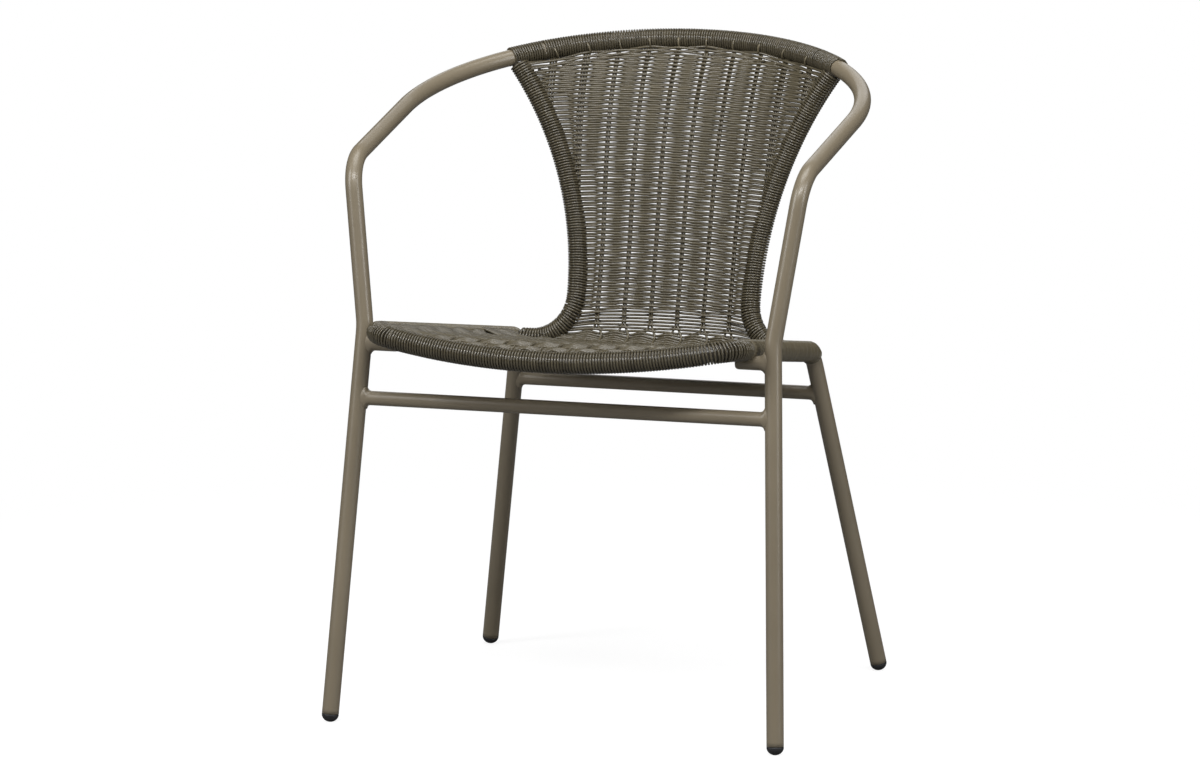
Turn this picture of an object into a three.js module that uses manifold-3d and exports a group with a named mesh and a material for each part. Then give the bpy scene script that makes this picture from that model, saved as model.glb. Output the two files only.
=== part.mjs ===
// Woven bistro armchair: a welded tube frame that carries wound rails and a woven seat and back.
// Millimetres, +Z up. The chair faces -Y, and left is the sitter's left, +X.
// The origin is on the floor, under the middle of the chair's outer box.
import * as THREE from "three";
import { mergeVertices } from "three/addons/utils/BufferGeometryUtils.js";
import Module from "manifold-3d";

const wasm = await Module();
wasm.setup();

// Tube and strand stock
const mainTubeRadius = 9.5;
const thinTubeRadius = 8;
const tubeWall = 1;
const strandDiameter = 3;
const fitGap = 0.3;

// Arm loop: front legs, arms and the half-ellipse hoop of the top rail.
// A spread is measured from the middle plane, a setback from the front feet, a height from the floor.
const footHeight = 9.2;
const frontFootSpread = 258.2;
const kinkSpread = 236.2;
const kinkSetback = 57;
const kinkHeight = 438.6;
const kinkRadius = 90;
const elbowSpread = 260.7;
const elbowSetback = 82.5;
const elbowHeight = 617;
const elbowRadius = 44.5;
const armEndSpread = 264.5;
const armEndSetback = 263.75;
const armEndHeight = 661.6;
const hoopDepth = 247.2;
const hoopRise = 60.8;

// Rear legs, whose upper ends bend forward as the side rails of the seat
const rearFootSpread = 239.3;
const rearFootSetback = 465.9;
const kneeSpread = 178;
const kneeSetback = 395.7;
const kneeHeight = 380.3;
const kneeRadius = 26;

// Seat front rail, which hangs in a shallow arc between two bent corners
const cornerSpread = 211.9;
const cornerSetback = 0;
const cornerHeight = 440.2;
const cornerRadius = 40;
const frontRailSag = 20.2;
const frontRailBow = 25;
const railLead = 6;

// Stretchers and seat brackets
const frontStretcherHeight = 358.4;
const rearStretcherHeight = 331.2;
const bracketHeight = 418.5;
const bracketLength = 42;

// Side tubes of the back: an outward turn at the rail, a waist, then a flare up to the hoop
const waistSpread = 105.3;
const topJointSpread = 195;
const turnRadius = 50;
const flareRadius = 450;
const backCurveRadius = 1083;
const backUprightHeight = 720;

// Foot plugs
const spigotLength = 18;
const spigotChamfer = 1.5;

// Wrappings
const turnGap = 0.6;
const woundGap = 0.6;
const topWrapLoops = 12;
const frontWrapLoops = 11;
const bandEdgeShare = 1 / 3;
const cornerWrapLength = 27;
const cornerWrapTail = 5;

// Woven panels
const weaveThickness = 7;
const stakeSpacing = 31.9;
const topStakeSpacing = 34.5;
const evenStakesTop = 500;
const evenColumns = 6;
const closingColumns = 4;
const seatStakeSpacing = 16;
const seatStakes = 22;
const seatBundles = 16;
const humpDepth = 55;
const humpLift = 4;
const seatDish = 4;
const seatBendRise = 24;
const lowBowShare = 0.1;
const bowPower = 4;

// Counts of the facets
const tubeSides = 10;
const kinkSteps = 2;
const elbowSteps = 6;
const hoopSteps = 28;
const smoothHoopSteps = 120;
const kneeSteps = 6;
const bareKneeSteps = 3;
const cornerSteps = 4;
const frontRailSteps = 10;
const turnSteps = 4;
const flareSteps = 5;
const domeSteps = 4;
const loopSteps = 24;
const backRows = 8;
const bendRows = 3;
const settleRounds = 30;

// Sizes that follow
const mainWrapRadius = mainTubeRadius + strandDiameter;
const thinWrapRadius = thinTubeRadius + strandDiameter;
const depthMiddle = (armEndSetback + hoopDepth + cornerSetback - frontRailBow) / 2;
const latheAxis = new THREE.Vector3(0, 1, 0);

const finishes = {
  frame: { color: 0x867c68, roughness: 0.42, metalness: 0.15 },
  wicker: { color: 0x655c4a, roughness: 0.5, metalness: 0 },
  foot: { color: 0x17171a, roughness: 0.6, metalness: 0 },
};

// A centre-line through hand-placed stations, which keeps its sections at those stations.
class Route extends THREE.Curve {
  constructor(stations) {
    super();
    this.stations = stations;
  }

  getPoint(t, target = new THREE.Vector3()) {
    const last = this.stations.length - 1;
    const place = t * last;
    const first = Math.min(Math.floor(place), last - 1);
    return target.lerpVectors(this.stations[first], this.stations[first + 1], place - first);
  }

  getUtoTmapping(u) {
    return u;
  }
}

function circle(radius) {
  return Array.from({ length: tubeSides }, (_, side) => {
    const angle = (2 * Math.PI * side) / tubeSides;
    return new THREE.Vector2(radius * Math.cos(angle), radius * Math.sin(angle));
  });
}

// A round bar along the stations, or a tube with open ends where it has an inner radius.
function sweep(stations, outerRadius, innerRadius = 0) {
  const section = new THREE.Shape(circle(outerRadius));
  if (innerRadius > 0) section.holes.push(new THREE.Path(circle(innerRadius)));
  return new THREE.ExtrudeGeometry(section, {
    steps: stations.length - 1,
    extrudePath: new Route(stations),
    bevelEnabled: false,
  });
}

// The corner radius of a faceted bore whose flats clear a round bar, whichever way the facets turn.
function boreFor(radius, gap = fitGap) {
  return (radius + gap) / Math.cos(Math.PI / tubeSides);
}

function sleeve(stations, tubeRadius) {
  return sweep(stations, tubeRadius + strandDiameter, boreFor(tubeRadius));
}

function toSolid(geometry) {
  const bare = geometry.clone();
  bare.deleteAttribute("normal");
  bare.deleteAttribute("uv");
  const merged = mergeVertices(bare);
  return new wasm.Manifold(
    new wasm.Mesh({
      numProp: 3,
      vertProperties: merged.attributes.position.array,
      triVerts: new Uint32Array(merged.index.array),
    }),
  );
}

function toGeometry(solid) {
  const { vertProperties, triVerts } = solid.getMesh();
  const geometry = new THREE.BufferGeometry();
  geometry.setAttribute("position", new THREE.BufferAttribute(vertProperties, 3));
  geometry.setIndex(new THREE.BufferAttribute(triVerts, 1));
  geometry.computeVertexNormals();
  return geometry;
}

function cut(geometry, cutters) {
  const remains = cutters.reduce(
    (solid, cutter) => solid.subtract(toSolid(cutter)),
    toSolid(geometry),
  );
  return toGeometry(remains);
}

function mirrored(stations) {
  return stations.map(({ x, y, z }) => new THREE.Vector3(-x, y, z));
}

// The point at a height on the straight run between two points.
function atHeight(low, high, height) {
  return low.clone().lerp(high, (height - low.z) / (high.z - low.z));
}

// The stations of a round bend at a corner between two straight runs.
function bend(before, corner, after, radius, steps) {
  const back = before.clone().sub(corner).normalize();
  const ahead = after.clone().sub(corner).normalize();
  const half = back.angleTo(ahead) / 2;
  const start = corner.clone().addScaledVector(back, radius / Math.tan(half));
  const inward = back.clone().add(ahead).normalize();
  const centre = corner.clone().addScaledVector(inward, radius / Math.sin(half));
  const spoke = start.sub(centre);
  const axis = ahead.cross(back).normalize();
  return Array.from({ length: steps + 1 }, (_, step) => {
    const angle = ((Math.PI - 2 * half) * step) / steps;
    return spoke.clone().applyAxisAngle(axis, angle).add(centre);
  });
}

// Places that the pieces share
const frontFoot = new THREE.Vector3(frontFootSpread, 0, footHeight);
const kink = new THREE.Vector3(kinkSpread, kinkSetback, kinkHeight);
const elbow = new THREE.Vector3(elbowSpread, elbowSetback, elbowHeight);
const armEnd = new THREE.Vector3(armEndSpread, armEndSetback, armEndHeight);
const rearFoot = new THREE.Vector3(rearFootSpread, rearFootSetback, footHeight);
const knee = new THREE.Vector3(kneeSpread, kneeSetback, kneeHeight);
const seatCorner = new THREE.Vector3(cornerSpread, cornerSetback, cornerHeight);

// The hoop's centre-line, from its middle out to a spread.
function hoopAt(spread) {
  const sine = Math.sqrt(1 - (spread / armEndSpread) ** 2);
  return new THREE.Vector3(spread, armEndSetback + hoopDepth * sine, armEndHeight + hoopRise * sine);
}

// The stretch of a line between two spreads, the larger one first.
function between(stations, fromSpread, toSpread) {
  const crossing = (spread) => {
    const after = stations.findIndex(
      ({ x }, place) => place > 0 && x <= spread && stations[place - 1].x > x,
    );
    const start = stations[after - 1];
    const end = stations[after];
    return start.clone().lerp(end, (start.x - spread) / (start.x - end.x));
  };
  const inside = stations.filter(({ x }) => x < fromSpread && x > toSpread);
  return [crossing(fromSpread), ...inside, crossing(toSpread)];
}

function sideRailAt(setback) {
  return seatCorner.clone().lerp(knee, (setback - cornerSetback) / (kneeSetback - cornerSetback));
}

// The front rail's arc, for a share from -1 at the right corner to 1 at the left one.
function frontRailAt(share) {
  const hang = 1 - share ** 2;
  return new THREE.Vector3(
    share * cornerSpread,
    cornerSetback - frontRailBow * hang,
    cornerHeight - frontRailSag * hang,
  );
}

// How far forward of its upright part the back leans at a height.
function leanAt(height) {
  return backCurveRadius - Math.sqrt(backCurveRadius ** 2 - (backUprightHeight - height) ** 2);
}

// The side tube of the back meets the hoop above and the side rail below.
const topJoint = hoopAt(topJointSpread);
let turnHeight = kneeHeight;
for (let round = 0; round < settleRounds; round++) {
  turnHeight = sideRailAt(backSetbackAt(turnHeight)).z;
}
const turnTop = turnHeight + turnRadius;
const flareRise = arcRun(flareRadius, topJointSpread - waistSpread);
const flareFoot = topJoint.z - flareRise;

function backSetbackAt(height) {
  return topJoint.y + leanAt(topJoint.z) - leanAt(height);
}

// How far along its tangent an arc runs while it leaves that tangent by a distance.
function arcRun(radius, away) {
  return Math.sqrt(radius ** 2 - (radius - away) ** 2);
}

// How far an arc has left its tangent after a run along it, which is nothing before the arc starts.
function arcAway(radius, run) {
  return radius - Math.sqrt(radius ** 2 - THREE.MathUtils.clamp(run, 0, radius) ** 2);
}

// The side tube's distance from the middle plane at a height.
function backSpreadAt(height) {
  return waistSpread + arcAway(turnRadius, turnTop - height) + arcAway(flareRadius, height - flareFoot);
}

function backTubePoint(height) {
  return new THREE.Vector3(backSpreadAt(height), backSetbackAt(height), height);
}

// Centre-lines of the tubes
function legToArm() {
  return [
    frontFoot,
    ...bend(frontFoot, kink, elbow, kinkRadius, kinkSteps),
    ...bend(kink, elbow, armEnd, elbowRadius, elbowSteps),
  ];
}

function hoopStations(steps) {
  return Array.from({ length: steps + 1 }, (_, step) =>
    hoopAt(armEndSpread * Math.cos((Math.PI * step) / steps)),
  );
}

const hoop = hoopStations(hoopSteps);
const armLoopLine = [...legToArm(), ...hoop, ...mirrored(legToArm()).reverse()];

const frontRailEnd = frontRailAt(1 - cornerRadius / cornerSpread);
const cornerLine = bend(knee, seatCorner, frontRailEnd, cornerRadius, cornerSteps);
const railMouth = cornerLine[0];
const kneeLine = bend(rearFoot, knee, seatCorner, kneeRadius, kneeSteps);

// The rear leg and the front rail meet end to end, a little way behind the corner's bend.
const towardsKnee = knee.clone().sub(seatCorner).normalize();
const frontRailStart = railMouth.clone().addScaledVector(towardsKnee, railLead);
const rearLegEnd = railMouth.clone().addScaledVector(towardsKnee, railLead + fitGap);
const rearLegLine = [rearFoot, ...kneeLine, rearLegEnd];
const cornerEndShare = cornerLine[cornerSteps].x / cornerSpread;
const frontArc = Array.from({ length: frontRailSteps - 1 }, (_, step) =>
  frontRailAt(cornerEndShare * (1 - (2 * (step + 1)) / frontRailSteps)),
);
const startAndCorner = [frontRailStart, ...cornerLine];
const frontRailLine = [...startAndCorner, ...frontArc, ...mirrored(startAndCorner).reverse()];

const turnLine = Array.from({ length: turnSteps }, (_, step) => {
  const angle = (Math.PI / 2) * (1 - step / turnSteps);
  return backTubePoint(turnTop - turnRadius * Math.sin(angle));
});
const flareLine = Array.from({ length: flareSteps + 1 }, (_, step) =>
  backTubePoint(turnTop + ((topJoint.z - turnTop) * step) / flareSteps),
);
const backTubeFoot = sideRailAt(backSetbackAt(turnHeight));
const backTubeLine = [backTubeFoot, ...turnLine, ...flareLine];

const tailSpread = cornerLine[cornerSteps].x - cornerWrapTail;
const [tailEnd] = between(frontRailLine, tailSpread, -tailSpread);

// Cutters: each is the neighbour's own line, thicker by the fit gap
const armLoopCutter = sweep(armLoopLine, mainTubeRadius + fitGap);
const rearLegCutter = sweep(rearLegLine, mainTubeRadius + fitGap);
const backTubeCutter = sweep(backTubeLine, thinTubeRadius + fitGap);
const hoopWrapCutter = sweep(hoop, boreFor(mainWrapRadius, woundGap));
const sideWrapCutter = sweep([...kneeLine, railMouth], boreFor(mainWrapRadius));
const frontWrapCutter = sweep(frontRailLine, boreFor(mainWrapRadius, woundGap));
const edgeWrapCutter = sweep(backTubeLine, boreFor(thinWrapRadius));

function mirroredCutter(cutter) {
  const other = cutter.clone().applyMatrix4(new THREE.Matrix4().makeScale(-1, 1, 1));
  const corners = other.attributes.position;
  const order = Array.from({ length: corners.count }, (_, corner) => corner);
  for (let corner = 0; corner < order.length; corner += 3) {
    [order[corner + 1], order[corner + 2]] = [order[corner + 2], order[corner + 1]];
  }
  other.setIndex(order);
  return other;
}

function bothSides(cutter) {
  return [cutter, mirroredCutter(cutter)];
}

// A cross tube, hollow, coped against the legs that it runs between.
function stretcher(end, cutters) {
  const line = [end, ...mirrored([end])];
  return cut(sweep(line, thinTubeRadius, thinTubeRadius - tubeWall), cutters);
}

// A short stub from the front leg inwards, saddled under the side rail.
function seatBracket() {
  const start = atHeight(frontFoot, kink, bracketHeight);
  const end = start.clone();
  end.x -= bracketLength;
  const stub = sweep([start, end], thinTubeRadius, thinTubeRadius - tubeWall);
  return cut(stub, [armLoopCutter, rearLegCutter]);
}

function bracketCutter() {
  const start = atHeight(frontFoot, kink, bracketHeight);
  const end = start.clone();
  end.x -= bracketLength + fitGap;
  return sweep([start, end], thinTubeRadius + fitGap);
}

// A domed plug: its spigot sits in the leg, and the floor plane trims its dome to a small flat.
function footPlug(foot, above) {
  const dome = Array.from({ length: domeSteps + 1 }, (_, step) => {
    const angle = (Math.PI / 2) * (step / domeSteps - 1);
    return new THREE.Vector2(
      mainTubeRadius * Math.cos(angle),
      mainTubeRadius * Math.sin(angle) - fitGap,
    );
  });
  const spigotRadius = mainTubeRadius - tubeWall - 2 * fitGap;
  dome[0].x = 0;
  const profile = [
    ...dome,
    new THREE.Vector2(spigotRadius, -fitGap),
    new THREE.Vector2(spigotRadius, spigotLength - spigotChamfer),
    new THREE.Vector2(spigotRadius - spigotChamfer, spigotLength),
    new THREE.Vector2(0, spigotLength),
  ];
  const lean = above.clone().sub(foot).normalize();
  const plug = new THREE.LatheGeometry(profile, tubeSides);
  plug.applyQuaternion(new THREE.Quaternion().setFromUnitVectors(latheAxis, lean));
  plug.translate(foot.x, foot.y, foot.z);
  const floor = new THREE.BoxGeometry(footHeight * 4, footHeight * 4, footHeight);
  floor.translate(foot.x, foot.y, -footHeight / 2);
  return cut(plug, [floor]);
}

// One strand wound round a rail as a flat band, square at both ends of the rail.
function winding(name, stations, coreRadius, loops) {
  const last = stations.length - 1;
  const frames = new Route(stations).computeFrenetFrames(last);
  const distances = [0];
  for (let step = 0; step < last; step++) {
    distances.push(distances[step] + stations[step].distanceTo(stations[step + 1]));
  }
  const length = distances[last];
  const pitch = length / (loops - 1);
  const inner = coreRadius + woundGap;
  const outer = coreRadius + strandDiameter;
  const middle = (inner + outer) / 2;

  function onRail(distance, radius, angle, shift) {
    const first = Math.max(distances.findIndex((reached) => reached >= distance) - 1, 0);
    const share = (distance - distances[first]) / (distances[first + 1] - distances[first]);
    const normal = frames.normals[first].clone().lerp(frames.normals[first + 1], share).normalize();
    const side = frames.binormals[first].clone().lerp(frames.binormals[first + 1], share).normalize();
    const out = radius * Math.cos(angle) - shift * Math.sin(angle);
    const across = radius * Math.sin(angle) + shift * Math.cos(angle);
    return stations[first]
      .clone()
      .lerp(stations[first + 1], share)
      .addScaledVector(normal, out)
      .addScaledVector(side, across);
  }

  function ring(turn, angleTurn = turn, shift = 0) {
    const low = Math.max((turn - 1) * pitch, 0) + turnGap / 2;
    const high = Math.min(turn * pitch, length) - turnGap / 2;
    const round = Math.min(strandDiameter, high - low) * bandEdgeShare;
    const angle = 2 * Math.PI * angleTurn;
    const section = [
      [inner, low],
      [inner, high],
      [middle, high],
      [outer, high - round],
      [outer, low + round],
      [middle, low],
    ];
    return section.map(([radius, distance]) => onRail(distance, radius, angle, shift));
  }

  const endTurn = (strandDiameter + 2 * turnGap) / pitch;
  const straightTurn = strandDiameter / (2 * Math.PI * middle);
  const ringCount = Math.floor((loops - 2 * endTurn) * loopSteps);
  const lastTurn = endTurn + ringCount / loopSteps;
  const rings = [ring(endTurn - straightTurn, endTurn, -strandDiameter)];
  for (let step = 0; step <= ringCount; step++) rings.push(ring(endTurn + step / loopSteps));
  rings.push(ring(lastTurn + straightTurn, lastTurn, strandDiameter));
  printLeastGap(name, rings);
  return strandSkin(rings);
}

// The least distance between points of the strand that lie about a turn apart.
function printLeastGap(name, rings) {
  const points = rings.map((ring) =>
    ring.flatMap((corner, place) => [
      corner,
      corner.clone().lerp(ring[(place + 1) % ring.length], 0.5),
    ]),
  );
  let least = Infinity;
  points.forEach((near, place) => {
    const turnLater = points.slice(place + loopSteps - 2, place + loopSteps + 3);
    for (const far of turnLater) {
      for (const a of near) for (const b of far) least = Math.min(least, a.distanceTo(b));
    }
  });
  console.log(`${name}: least gap to itself ${least.toFixed(2)} mm`);
}

// The walls between rings of equally many points.
function ringWalls(rings) {
  const sides = rings[0].length;
  const faces = [];
  for (let step = 0; step < rings.length - 1; step++) {
    for (let side = 0; side < sides; side++) {
      const next = (side + 1) % sides;
      const a = step * sides + side;
      const b = step * sides + next;
      faces.push(a, b, a + sides, b, b + sides, a + sides);
    }
  }
  return faces;
}

function skin(rings, faces) {
  const geometry = new THREE.BufferGeometry().setFromPoints(rings.flat());
  geometry.setIndex(faces);
  geometry.computeVertexNormals();
  return geometry;
}

// A closed strand over its rings, with a flat fan at each end.
function strandSkin(rings) {
  const sides = rings[0].length;
  const faces = ringWalls(rings);
  const end = (rings.length - 1) * sides;
  for (let side = 1; side < sides - 1; side++) {
    faces.push(0, side + 1, side);
    faces.push(end, end + side, end + side + 1);
  }
  return skin(rings, faces);
}

// A closed sheet over a grid of middle points, given as rows. Each point has its own reach over the
// middle surface and under it.
function panel(rows) {
  const columns = rows[0].length;
  const clamp = THREE.MathUtils.clamp;
  const at = (row, column) =>
    rows[clamp(row, 0, rows.length - 1)][clamp(column, 0, columns - 1)].point;
  const normalAt = (row, column) => {
    const along = at(row + 1, column).clone().sub(at(row - 1, column));
    const across = at(row, column + 1).clone().sub(at(row, column - 1));
    return across.cross(along).normalize();
  };
  // Each row becomes a ring: over the top one way and under the bottom back again.
  const rings = rows.map((points, row) => {
    const over = points.map((place, column) =>
      place.point.clone().addScaledVector(normalAt(row, column), place.over),
    );
    const under = points.map((place, column) =>
      place.point.clone().addScaledVector(normalAt(row, column), -place.under),
    );
    return [...over, ...under.reverse()];
  });
  const faces = ringWalls(rings);
  const sides = 2 * columns;
  const end = (rings.length - 1) * sides;
  for (let top = 0; top < columns - 1; top++) {
    const under = sides - 1 - top;
    faces.push(top, under, top + 1, top + 1, under, under - 1);
    faces.push(end + top, end + top + 1, end + under, end + top + 1, end + under - 1, end + under);
  }
  return skin(rings, faces);
}

// The seat's middle surface: level with the side rails, dished, and rolled down to the front rail.
function seatHeightAt(spreadShare, setback) {
  const front = frontRailAt(spreadShare * cornerEndShare);
  const behind = (setback - front.y) / humpDepth;
  const roll = Math.max(1 - behind, 0) ** 2;
  const level = sideRailAt(setback).z - seatDish * (1 - spreadShare ** 2) * (1 - roll);
  return level + (front.z + humpLift - sideRailAt(front.y).z) * roll;
}

const panelJointSetback = backSetbackAt(turnHeight) - thinWrapRadius - fitGap;

// A block across the whole chair, from one setback to another, that trims a panel square.
function trimBlock(fromSetback, toSetback) {
  const block = new THREE.BoxGeometry(2 * armEndSpread, toSetback - fromSetback, 2 * armEndHeight);
  block.translate(0, (fromSetback + toSetback) / 2, 0);
  return block;
}

// The seat's strands pass over and under its stakes in bundles, so the sheet swells up at one crossing
// and down at the next, both ways.
function seatWeave() {
  const alongs = Array.from({ length: seatBundles }, (_, bundle) => (bundle + 0.5) / seatBundles);
  const rows = [0, ...alongs, 1].map((along, row) =>
    Array.from({ length: seatStakes + 2 }, (_, column) => {
      const place = column - (seatStakes + 1) / 2;
      const stake = place * seatStakeSpacing;
      const atEdge = Math.abs(place) > seatStakes / 2;
      const frontShare = THREE.MathUtils.clamp(stake / seatCorner.x, -cornerEndShare, cornerEndShare);
      const front = frontRailAt(frontShare);
      const setback = front.y + (panelJointSetback + weaveThickness - front.y) * along;
      const rail = sideRailAt(setback).x;
      const edge = along > 0 ? rail : cornerEndShare * seatCorner.x;
      const spread = atEdge ? Math.sign(stake) * edge : stake;
      const level = atEdge || along === 0 || along === 1;
      const swell = level ? 0 : (strandDiameter / 2) * (-1) ** (column + row);
      return {
        point: new THREE.Vector3(spread, setback, seatHeightAt(spread / rail, setback)),
        over: level ? weaveThickness / 2 : strandDiameter - swell,
        under: level ? weaveThickness / 2 : strandDiameter + swell,
      };
    }),
  );
  return cut(panel(rows), [
    trimBlock(panelJointSetback, armEndSetback + hoopDepth),
    ...bothSides(sideWrapCutter),
    frontWrapCutter,
    ...bothSides(bracketCutter()),
  ]);
}

// The back's middle surface, for a share across and a share up from the seat's bend to the hoop.
function backSurface(across, up) {
  const low = turnHeight + seatBendRise;
  const edgeHeight = low + (topJoint.z - low) * up;
  const top = hoopAt(across * topJoint.x);
  const height = low + (top.z - low) * up;
  const hoopReach = top.y - topJoint.y;
  const bow = hoopReach * (lowBowShare + (1 - lowBowShare) * up ** bowPower);
  return new THREE.Vector3(across * backSpreadAt(edgeHeight), backSetbackAt(edgeHeight) + bow, height);
}

// The back's columns lie on its stakes and midway between them, and the outer ones close up where the
// back narrows.
function backColumns(edge, height) {
  const wider = THREE.MathUtils.smoothstep(height, evenStakesTop, topJoint.z);
  const step = (stakeSpacing + (topStakeSpacing - stakeSpacing) * wider) / 2;
  const closing = (edge - evenColumns * step) / (closingColumns + 1);
  const half = Array.from({ length: evenColumns + closingColumns + 1 }, (_, place) => {
    const beyond = Math.max(place + 1 - evenColumns, 0);
    return {
      spread: (place + 1 - beyond) * step + beyond * closing,
      swellShare: beyond > 0 ? Math.min(closing / step, 1) : 1,
      onStake: place % 2 === 0,
    };
  });
  const otherHalf = half.map((column) => ({ ...column, spread: -column.spread })).reverse();
  return [...otherHalf, { spread: 0, swellShare: 1, onStake: false }, ...half];
}

// The back's strands pass before and behind its stakes one by one, so the sheet is thick at a stake and
// thin midway to the next.
function backWeave() {
  const low = turnHeight + seatBendRise;
  const reachAt = (column, place, columns) => {
    const swell = ((column.onStake ? 1 : -1) * column.swellShare * strandDiameter) / 2;
    const inside = place > 0 && place < columns.length - 1;
    return inside ? strandDiameter + swell : weaveThickness / 2;
  };
  const upper = Array.from({ length: backRows + 1 }, (_, row) => {
    const up = row / backRows;
    const edgeHeight = low + (topJoint.z - low) * up;
    const edge = backSpreadAt(edgeHeight);
    return backColumns(edge, edgeHeight).map((column, place, columns) => {
      const reach = reachAt(column, place, columns);
      return { point: backSurface(column.spread / edge, up), over: reach, under: reach };
    });
  });
  const foot = upper[0].map(({ point }) => {
    const setback = panelJointSetback - weaveThickness / 2;
    const share = point.x / sideRailAt(setback).x;
    return new THREE.Vector3(point.x, setback, seatHeightAt(share, setback));
  });
  const bends = Array.from({ length: bendRows }, (_, row) => {
    const share = row / bendRows;
    return upper[0].map((end, column) => {
      const corner = new THREE.Vector3(end.point.x, end.point.y, foot[column].z);
      const point = foot[column]
        .clone()
        .lerp(corner, share)
        .lerp(corner.clone().lerp(end.point, share), share);
      return { ...end, point };
    });
  });
  return cut(panel([...bends, ...upper]), [
    trimBlock(0, panelJointSetback + fitGap),
    ...bothSides(edgeWrapCutter),
    hoopWrapCutter,
  ]);
}

// The chair
const chair = new THREE.Group();
chair.position.y = -depthMiddle;

function addPiece(name, geometry, finish) {
  const mesh = new THREE.Mesh(geometry, new THREE.MeshStandardMaterial(finish));
  mesh.name = name;
  chair.add(mesh);
  return mesh;
}

function addPair(name, geometry, finish) {
  addPiece(`${name}_left`, geometry, finish);
  addPiece(`${name}_right`, geometry, finish).scale.x = -1;
}

const mainBore = mainTubeRadius - tubeWall;
const thinBore = thinTubeRadius - tubeWall;

addPiece("arm_loop", sweep(armLoopLine, mainTubeRadius, mainBore), finishes.frame);
addPair("rear_leg", sweep(rearLegLine, mainTubeRadius, mainBore), finishes.frame);
addPiece("seat_front_rail", sweep(frontRailLine, mainTubeRadius, mainBore), finishes.frame);
addPiece(
  "front_stretcher",
  stretcher(atHeight(frontFoot, kink, frontStretcherHeight), [armLoopCutter]),
  finishes.frame,
);
addPiece(
  "rear_stretcher",
  stretcher(atHeight(rearFoot, knee, rearStretcherHeight), bothSides(rearLegCutter)),
  finishes.frame,
);
addPair(
  "back_side_tube",
  cut(sweep(backTubeLine, thinTubeRadius, thinBore), [armLoopCutter, rearLegCutter]),
  finishes.frame,
);
addPair("seat_bracket", seatBracket(), finishes.frame);
addPair("front_foot_plug", footPlug(frontFoot, kink), finishes.foot);
addPair("rear_foot_plug", footPlug(rearFoot, knee), finishes.foot);

const cornerWrapEnd = topJoint.x - cornerWrapLength;
addPiece(
  "top_rail_wrap",
  winding(
    "top_rail_wrap",
    between(hoopStations(smoothHoopSteps), cornerWrapEnd - fitGap, fitGap - cornerWrapEnd),
    mainTubeRadius,
    topWrapLoops,
  ),
  finishes.wicker,
);
const frontWrapEnd = tailEnd.x - fitGap;
addPiece(
  "front_rail_wrap",
  winding(
    "front_rail_wrap",
    between(frontRailLine, frontWrapEnd, -frontWrapEnd),
    mainTubeRadius,
    frontWrapLoops,
  ),
  finishes.wicker,
);
addPair(
  "top_corner_wrap",
  cut(
    sleeve(between(hoop, topJoint.x + thinTubeRadius, cornerWrapEnd), mainTubeRadius),
    [backTubeCutter],
  ),
  finishes.wicker,
);
addPair(
  "seat_corner_wrap",
  sleeve([...startAndCorner, tailEnd], mainTubeRadius),
  finishes.wicker,
);
addPair(
  "side_rail_wrap",
  cut(
    sleeve([...kneeLine.slice(bareKneeSteps), rearLegEnd], mainTubeRadius),
    [backTubeCutter, bracketCutter()],
  ),
  finishes.wicker,
);
addPair(
  "back_edge_wrap",
  cut(sleeve(backTubeLine, thinTubeRadius), [hoopWrapCutter, sideWrapCutter]),
  finishes.wicker,
);
addPiece("back_weave", backWeave(), finishes.wicker);
addPiece("seat_weave", seatWeave(), finishes.wicker);

export default chair;
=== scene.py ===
import math
import random

import bmesh
import bpy
import numpy as np
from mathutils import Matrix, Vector


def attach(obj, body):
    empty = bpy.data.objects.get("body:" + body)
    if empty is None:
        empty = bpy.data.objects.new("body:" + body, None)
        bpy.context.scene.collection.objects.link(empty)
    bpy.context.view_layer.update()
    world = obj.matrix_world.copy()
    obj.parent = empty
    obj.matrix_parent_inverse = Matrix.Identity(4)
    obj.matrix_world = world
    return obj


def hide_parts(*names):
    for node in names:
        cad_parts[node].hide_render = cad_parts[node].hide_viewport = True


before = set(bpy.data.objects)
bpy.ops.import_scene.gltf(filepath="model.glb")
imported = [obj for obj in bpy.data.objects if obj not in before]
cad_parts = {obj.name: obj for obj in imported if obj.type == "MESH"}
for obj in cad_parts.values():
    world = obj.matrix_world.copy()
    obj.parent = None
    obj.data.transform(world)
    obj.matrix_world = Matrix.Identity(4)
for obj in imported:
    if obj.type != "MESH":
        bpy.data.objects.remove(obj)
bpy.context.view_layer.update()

# The woven bistro armchair. Centre-lines are worked out in the chair's own frame, whose middle
# plane is x = 0 and whose y = 0 lies at the front feet. Left is the sitter's left, +X.

mm = 0.001
draws = random.Random(11)

# Stock
main_radius = 9.5 * mm
thin_radius = 8 * mm
strand_radius = 1.5 * mm
weft_radius = 1.54 * mm
wound_strand = 1.28 * mm
end_strand = 1.15 * mm
stake_radius = 1.4 * mm
facet_room = 0.03 * mm
merge_distance = 0.5e-6
tube_sides = 32
tube_step = 6 * mm
fine_tube_step = 5 * mm
strand_sides = 8
coarse_strand_sides = 6


def spot(spread, setback, height):
    return np.array([spread, setback, height]) * mm


# Arm loop
front_foot = spot(258.2, 0, 9.2)
kink = spot(236.2, 57, 438.6)
kink_radius = 90 * mm
elbow = spot(260.7, 82.5, 617)
elbow_radius = 44.5 * mm
arm_end = spot(264.5, 263.75, 661.6)
hoop_depth = 247.2 * mm
hoop_rise = 60.8 * mm

# Rear legs and seat rails
rear_foot = spot(239.3, 465.9, 9.2)
knee = spot(178, 395.7, 380.3)
knee_radius = 26 * mm
seat_corner = spot(211.9, 0, 440.2)
corner_radius = 40 * mm
front_rail_sag = 20.2 * mm
front_rail_bow = 25 * mm
rail_lead = 6 * mm

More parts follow.
